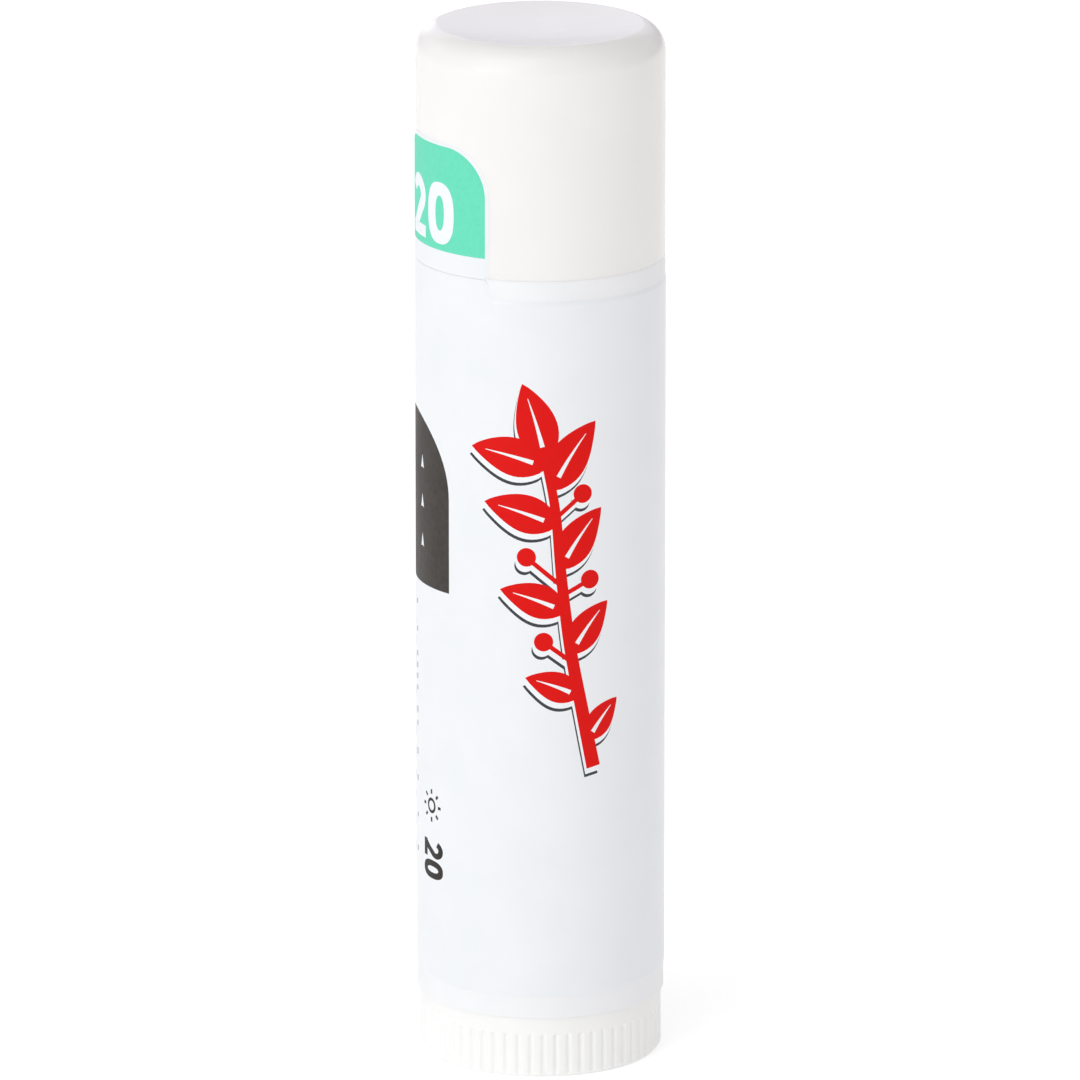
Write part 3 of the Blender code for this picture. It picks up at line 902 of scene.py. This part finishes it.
def cut_sheet(outline, layers):
    """The flat film's points, its triangles, each with the number of its ink, and the inks.

    The film is cut along every print's edge and into narrow upright strips, so that each triangle has
    one ink and lies close to the stick's curve. The last layer that covers a triangle gives its ink.
    """
    inks = [FILM]
    spots, edges, faces, ink_of = [], [], [], []

    def draw(points, material):
        first = len(spots)
        spots.extend(Vector(point) for point in points)
        faces.append(list(range(first, len(spots))))
        if material not in inks:
            inks.append(material)
        ink_of.append(inks.index(material))

    draw(outline, FILM)
    for material, outlines in layers:
        for shape in outlines:
            draw(shape, material)
    lows = [min(spot[i] for spot in outline) for i in (0, 1)]
    highs = [max(spot[i] for spot in outline) for i in (0, 1)]
    strips = math.ceil((highs[0] - lows[0]) / FILM_STEP)
    for i in range(1, strips):
        x = lows[0] + (highs[0] - lows[0]) * i / strips
        edges.append((len(spots), len(spots) + 1))
        spots.extend([Vector((x, lows[1])), Vector((x, highs[1]))])
    result = delaunay_2d_cdt(spots, edges, faces, INSIDE_SHAPES, CUT_TOLERANCE, True)
    cut, _, triangles, _, _, sources = result
    on_film = [(triangle, source) for triangle, source in zip(triangles, sources) if 0 in source]
    inked = [(triangle, ink_of[max(source)]) for triangle, source in on_film]
    return cut, inked, inks


def slope_edges(bm, twin, torn_height):
    """Closes a film's edges with slopes from each outer point down to its twin, which moves outward.

    A slope has the ink of the print beside it. The perforated edge, at the torn height, is steep.
    """
    rim = [edge for edge in bm.edges if edge.is_boundary and edge.verts[0] in twin]
    outward = {}
    for edge in rim:
        first, second = (loop.vert for loop in (edge.link_loops[0], edge.link_loops[0].link_loop_next))
        side = (second.co - first.co).cross(edge.link_faces[0].normal).normalized()
        for vertex in (first, second):
            outward[vertex] = outward.get(vertex, Vector()) + side
        slope = bm.faces.new((second, first, twin[first], twin[second]))
        slope.material_index = edge.link_faces[0].material_index
    for vertex, side in outward.items():
        foot = twin[vertex]
        radius = foot.co.xy.length
        is_torn = abs(foot.co.z / MM - torn_height) < TORN_SLOPE
        foot.co += side.normalized() * (TORN_SLOPE if is_torn else EDGE_SLOPE) * MM
        foot.co.xy *= radius / foot.co.xy.length


def printed_film(name, outline, layers, radius_at, torn_height, body, slot, node):
    """A thin film cut to its outline, printed in layers and wrapped round the stick."""
    cut, inked, inks = cut_sheet(outline, layers)
    bm = bmesh.new()
    outer, inner = [], []
    for x, height in cut:
        angle = math.degrees(x / PRINT_RADIUS)
        radius = radius_at(x)
        outer.append(bm.verts.new(at(angle, radius + FILM_THICKNESS, height)))
        inner.append(bm.verts.new(at(angle, radius, height)))
    for triangle, ink_number in inked:
        face = bm.faces.new([outer[i] for i in triangle])
        face.material_index = ink_number
        bm.faces.new([inner[i] for i in reversed(triangle)])
    bm.normal_update()
    slope_edges(bm, dict(zip(outer, inner)), torn_height)
    loose = [vertex for vertex in bm.verts if not vertex.link_faces]
    bmesh.ops.delete(bm, geom=loose, context="VERTS")
    bm.normal_update()
    piece = add_object(name, mesh_of(name, bm))
    for material in inks:
        piece.data.materials.append(material)
    round_normals(piece.data)
    return finished(piece, body, None, slot, node)


def round_normals(mesh):
    """Gives the film's two faces the exact roundness of the stick, and leaves its cut edges flat."""
    mesh.shade_smooth()
    normals = []
    for face in mesh.polygons:
        for index in face.vertices:
            spot = mesh.vertices[index].co
            radial = Vector((spot.x, spot.y, 0)).normalized()
            facing = face.normal.dot(radial)
            if abs(facing) < SIDE_FACING:
                normals.append(face.normal)
            else:
                normals.append(radial * math.copysign(1, facing))
    mesh.normals_split_custom_set(normals)


def make_wrap_label():
    """The label round the tube, lapped over itself at the seam, with its tongue up to the cap."""
    seam = math.radians(SEAM_ANGLE) * PRINT_RADIUS
    start = seam - math.tau * PRINT_RADIUS
    end = seam + SEAM_OVERLAP
    fillet = LABEL_HEAD + TONGUE_FILLET
    shoulder = TONGUE_TOP - EDGE_SLOPE
    outline = [(start, LABEL_FOOT), (end, LABEL_FOOT), (end, LABEL_HEAD)]
    outline += arc(TAB_RIGHT + TONGUE_FILLET, fillet, TONGUE_FILLET, 270, 180, TONGUE_FILLET_STEPS)
    outline += [(TAB_RIGHT, shoulder), (TAB_RIGHT, TONGUE_TOP)]
    outline += [(TAB_LEFT, TONGUE_TOP), (TAB_LEFT, shoulder)]
    outline += arc(TAB_LEFT - TONGUE_FILLET, fillet, TONGUE_FILLET, 0, -90, TONGUE_FILLET_STEPS)
    outline.append((start, LABEL_HEAD))

    def radius_at(x):
        share = min(max((x - seam + SEAM_RAMP) / SEAM_RAMP, 0), 1)
        return TUBE_RADIUS + GLUE_GAP + (FILM_THICKNESS + GLUE_GAP) * share

    layers = [*red_sprig(), *arch_panel(), *ruled_lines()]
    layers += number_twenty(
        x=-9.6, y=14.9, width=2.6, height=2.35, turn=-90, colour=FIGURE_INK, ground=FILM
    )
    layers += sun_icon(x=-8.55, y=17.2, radius=0.52, colour=FIGURE_INK)
    return printed_film(
        "wrap_label_film",
        outline,
        layers,
        radius_at=radius_at,
        torn_height=TONGUE_TOP,
        body="stick_body",
        slot="wrap_label",
        node="wrap_label",
    )


def make_seal_tab():
    """The tab on the cap, torn straight along its foot, with the green print over all but its foot."""
    spring = TAB_TOP - TAB_CORNER
    shoulder = TAB_FOOT + EDGE_SLOPE
    outline = [(TAB_LEFT, shoulder), (TAB_LEFT, TAB_FOOT), (TAB_RIGHT, TAB_FOOT), (TAB_RIGHT, shoulder)]
    outline += arc(TAB_RIGHT - TAB_CORNER, spring, TAB_CORNER, 0, 90, TAB_CORNER_STEPS)
    outline += arc(TAB_LEFT + TAB_CORNER, spring, TAB_CORNER, 90, 180, TAB_CORNER_STEPS)
    patch = oblong(TAB_LEFT - PRINT_BLEED, TAB_RIGHT + PRINT_BLEED, GREEN_FOOT, TAB_TOP + PRINT_BLEED)
    layers = [(GREEN_INK, [patch])]
    layers += number_twenty(
        x=-11.8, y=54.75, width=5.73, height=3.95, turn=0, colour=WHITE_INK, ground=GREEN_INK
    )
    return printed_film(
        "seal_tab_film",
        outline,
        layers,
        radius_at=lambda x: CAP_RADIUS + GLUE_GAP,
        torn_height=TAB_FOOT,
        body="cap",
        slot="seal_tab",
        node="seal_tab",
    )


# Studio

FLOOR_RADIUS = 2500
FLOOR_SIDES = 96
# The light table under the paper glows a little more where the camera or a reflection finds it, so that
# the paper is plain white there and still no lamp on the stick.
FLOOR_GLOW = 0.23
FLOOR_WHITE_GLOW = 0.33

# How bright the room is along a direction, against the height, the depth behind the stick or the side to
# the right that the direction has, each from -1 to 1. First the room that lights the stick.
ROOM_BY_HEIGHT = {"To Min": 0.51, "To Max": 0.78}
ROOM_BY_SIDE = {"From Min": -1.0, "To Min": 1.08, "To Max": 0.91}
# Then the room that its gloss mirrors: darker at the foot of the walls, dark overhead and behind, and
# dimmer at the right. Between the walls and overhead one runs into the other.
MIRRORED_WALL = {"From Max": 0.3, "To Min": 0.68, "To Max": 0.92}
MIRRORED_OVERHEAD = {"From Min": -0.5, "From Max": 0.0, "To Min": 1.0, "To Max": 0.3}
MIRRORED_CORNER = {"From Min": 0.45, "From Max": 0.62}
MIRRORED_BY_SIDE = {"From Min": 0.1, "From Max": 0.22, "To Min": 1.0, "To Max": 0.6}

SOFTBOX_DISTANCE = 800
# The lamps: azimuth from the camera's side round to the right and elevation, in degrees, width and
# height, brightness and colour
SOFTBOXES = [
    ("window_left", -44, 8, 614, 170, 2.1, "#FBFFFF"),
    ("top_left", -46, 45, 800, 800, 0.52, "#FBFFFF"),
    ("front_fill", -30, 28, 800, 800, 0.43, "#FDFFFF"),
    ("window_behind", 182, 24, 640, 380, 0.4, "#F4F3FF"),
    ("window_left_behind", 193, 8, 170, 160, 1.2, "#F4F3FF"),
    ("window_right", 60, 8, 400, 130, 1.15, "#FFFCFA"),
]


def white_rays(tree):
    """Whether a ray is the camera's, and whether it is one of those that find the white background.

    Those are the camera's rays, and the ones that a surface mirrors or lets through.
    """
    path = add(tree, "ShaderNodeLightPath")
    camera = path.outputs["Is Camera Ray"]
    white = camera
    for kind in ("Is Glossy Ray", "Is Transmission Ray"):
        either = {0: white, 1: path.outputs[kind]}
        white = add(tree, "ShaderNodeMath", either, operation="MAXIMUM").outputs[0]
    return camera, white


def make_floor():
    """A sheet of white paper on a light table, which keeps the shadow of the stick."""
    bm = bmesh.new()
    bmesh.ops.create_circle(bm, cap_ends=True, segments=FLOOR_SIDES, radius=FLOOR_RADIUS * MM)
    floor = add_object("studio_floor", mesh_of("studio_floor", bm))
    paper = bpy.data.materials.new("floor_paper_white")
    paper.use_nodes = True
    tree = paper.node_tree
    tree.nodes.clear()
    where = add(tree, "ShaderNodeTexCoord").outputs["Object"]
    # Matt paper, with clouds about 40 mm across from the way its pulp settled
    tone = two_toned(tree, grain(where, 40), "#F6F6F6", "#F4F4F4")
    lit = add(tree, "ShaderNodeBsdfDiffuse", {"Color": tone}).outputs["BSDF"]
    _, white = white_rays(tree)
    glows = {"Factor": white, "A": FLOOR_GLOW, "B": FLOOR_WHITE_GLOW}
    strength = add(tree, "ShaderNodeMix", glows).outputs["Result"]
    glow = add(tree, "ShaderNodeEmission", {"Strength": strength}).outputs["Emission"]
    both = add(tree, "ShaderNodeAddShader", {0: lit, 1: glow}).outputs["Shader"]
    add(tree, "ShaderNodeOutputMaterial", {"Surface": both})
    floor.data.materials.append(paper)


def softbox(name, azimuth, elevation, width, height, brightness, colour):
    """A soft rectangular lamp that faces the stick. At brightness 1 it is as bright as white paper."""
    aim = Vector((0, 0, STICK_TOP / 2)) * MM
    turn, lift = math.radians(azimuth), math.radians(elevation)
    out = Vector((math.sin(turn) * math.cos(lift), -math.cos(turn) * math.cos(lift), math.sin(lift)))
    light = bpy.data.lights.new(name, "AREA")
    light.shape = "RECTANGLE"
    light.size = width * MM
    light.size_y = height * MM
    light.energy = brightness * math.pi * light.size * light.size_y
    light.color = srgb(colour)[:3]
    lamp = add_object(name, light)
    lamp.location = aim + out * SOFTBOX_DISTANCE * MM
    lamp.rotation_euler = out.to_track_quat("Z", "Y").to_euler()


def make_world():
    """The room: one brightness as light on the stick, another in its gloss, and white for the camera."""
    world = bpy.data.worlds.new("studio_room")
    bpy.context.scene.world = world
    world.use_nodes = True
    tree = world.node_tree
    tree.nodes.clear()
    way = add(tree, "ShaderNodeTexCoord").outputs["Generated"]
    parts = add(tree, "ShaderNodeSeparateXYZ", {"Vector": way}).outputs
    side, depth, height = parts["X"], parts["Y"], parts["Z"]
    upright = add(tree, "ShaderNodeMapRange", {"Value": height, **ROOM_BY_HEIGHT}).outputs["Result"]
    across = add(tree, "ShaderNodeMapRange", {"Value": side, **ROOM_BY_SIDE}).outputs["Result"]
    room = add(tree, "ShaderNodeMath", {0: upright, 1: across}, operation="MULTIPLY").outputs[0]
    wall = add(tree, "ShaderNodeMapRange", {"Value": height, **MIRRORED_WALL}).outputs["Result"]
    overhead = add(tree, "ShaderNodeMapRange", {"Value": depth, **MIRRORED_OVERHEAD}).outputs["Result"]
    corner = {"Value": height, **MIRRORED_CORNER, "To Min": wall, "To Max": overhead}
    upright = add(tree, "ShaderNodeMapRange", corner).outputs["Result"]
    across = add(tree, "ShaderNodeMapRange", {"Value": side, **MIRRORED_BY_SIDE}).outputs["Result"]
    mirrored = add(tree, "ShaderNodeMath", {0: upright, 1: across}, operation="MULTIPLY").outputs[0]
    camera, white = white_rays(tree)
    light = add(tree, "ShaderNodeMix", {"Factor": white, "A": room, "B": mirrored}).outputs["Result"]
    strength = add(tree, "ShaderNodeMix", {"Factor": camera, "A": light, "B": 1.0}).outputs["Result"]
    tints = {"Factor": white, FIRST_COLOUR: srgb("#FFFDFD"), SECOND_COLOUR: srgb("#F3EEFF")}
    tint = add(tree, "ShaderNodeMix", tints, data_type="RGBA").outputs[MIXED_COLOUR]
    seen = {"Factor": camera, FIRST_COLOUR: tint, SECOND_COLOUR: srgb("#FFFFFF")}
    colour = add(tree, "ShaderNodeMix", seen, data_type="RGBA").outputs[MIXED_COLOUR]
    sky = add(tree, "ShaderNodeBackground", {"Color": colour, "Strength": strength})
    add(tree, "ShaderNodeOutputWorld", {"Surface": sky.outputs["Background"]})


def make_camera():
    """The photograph's camera, which looks slightly down on the stick."""
    camera = bpy.data.cameras.new("photo_camera")
    camera.lens = CAMERA_LENS
    camera.sensor_width = CAMERA_SENSOR
    camera.clip_start = CAMERA_NEAR * MM
    camera.clip_end = CAMERA_FAR * MM
    made = add_object("photo_camera", camera)
    lift = math.radians(CAMERA_ELEVATION)
    back = Vector((0, -math.cos(lift), math.sin(lift)))
    made.location = (Vector(CAMERA_AIM) + back * CAMERA_DISTANCE) * MM
    made.rotation_euler = back.to_track_quat("Z", "Y").to_euler()
    bpy.context.scene.camera = made


make_cap()
make_seal_tab()
make_tube()
make_wrap_label()
make_wheel()
make_hub_and_screw()
make_balm()
# The elevator cup stays down inside the tube, so its solid stands as it is and only takes its material.
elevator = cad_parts["elevator_cup"]
elevator.data.materials.clear()
elevator.data.materials.append(ELEVATOR_PLASTIC)

make_floor()
make_world()
for settings in SOFTBOXES:
    softbox(*settings)
make_camera()
bpy.context.scene.view_settings.view_transform = "Standard"
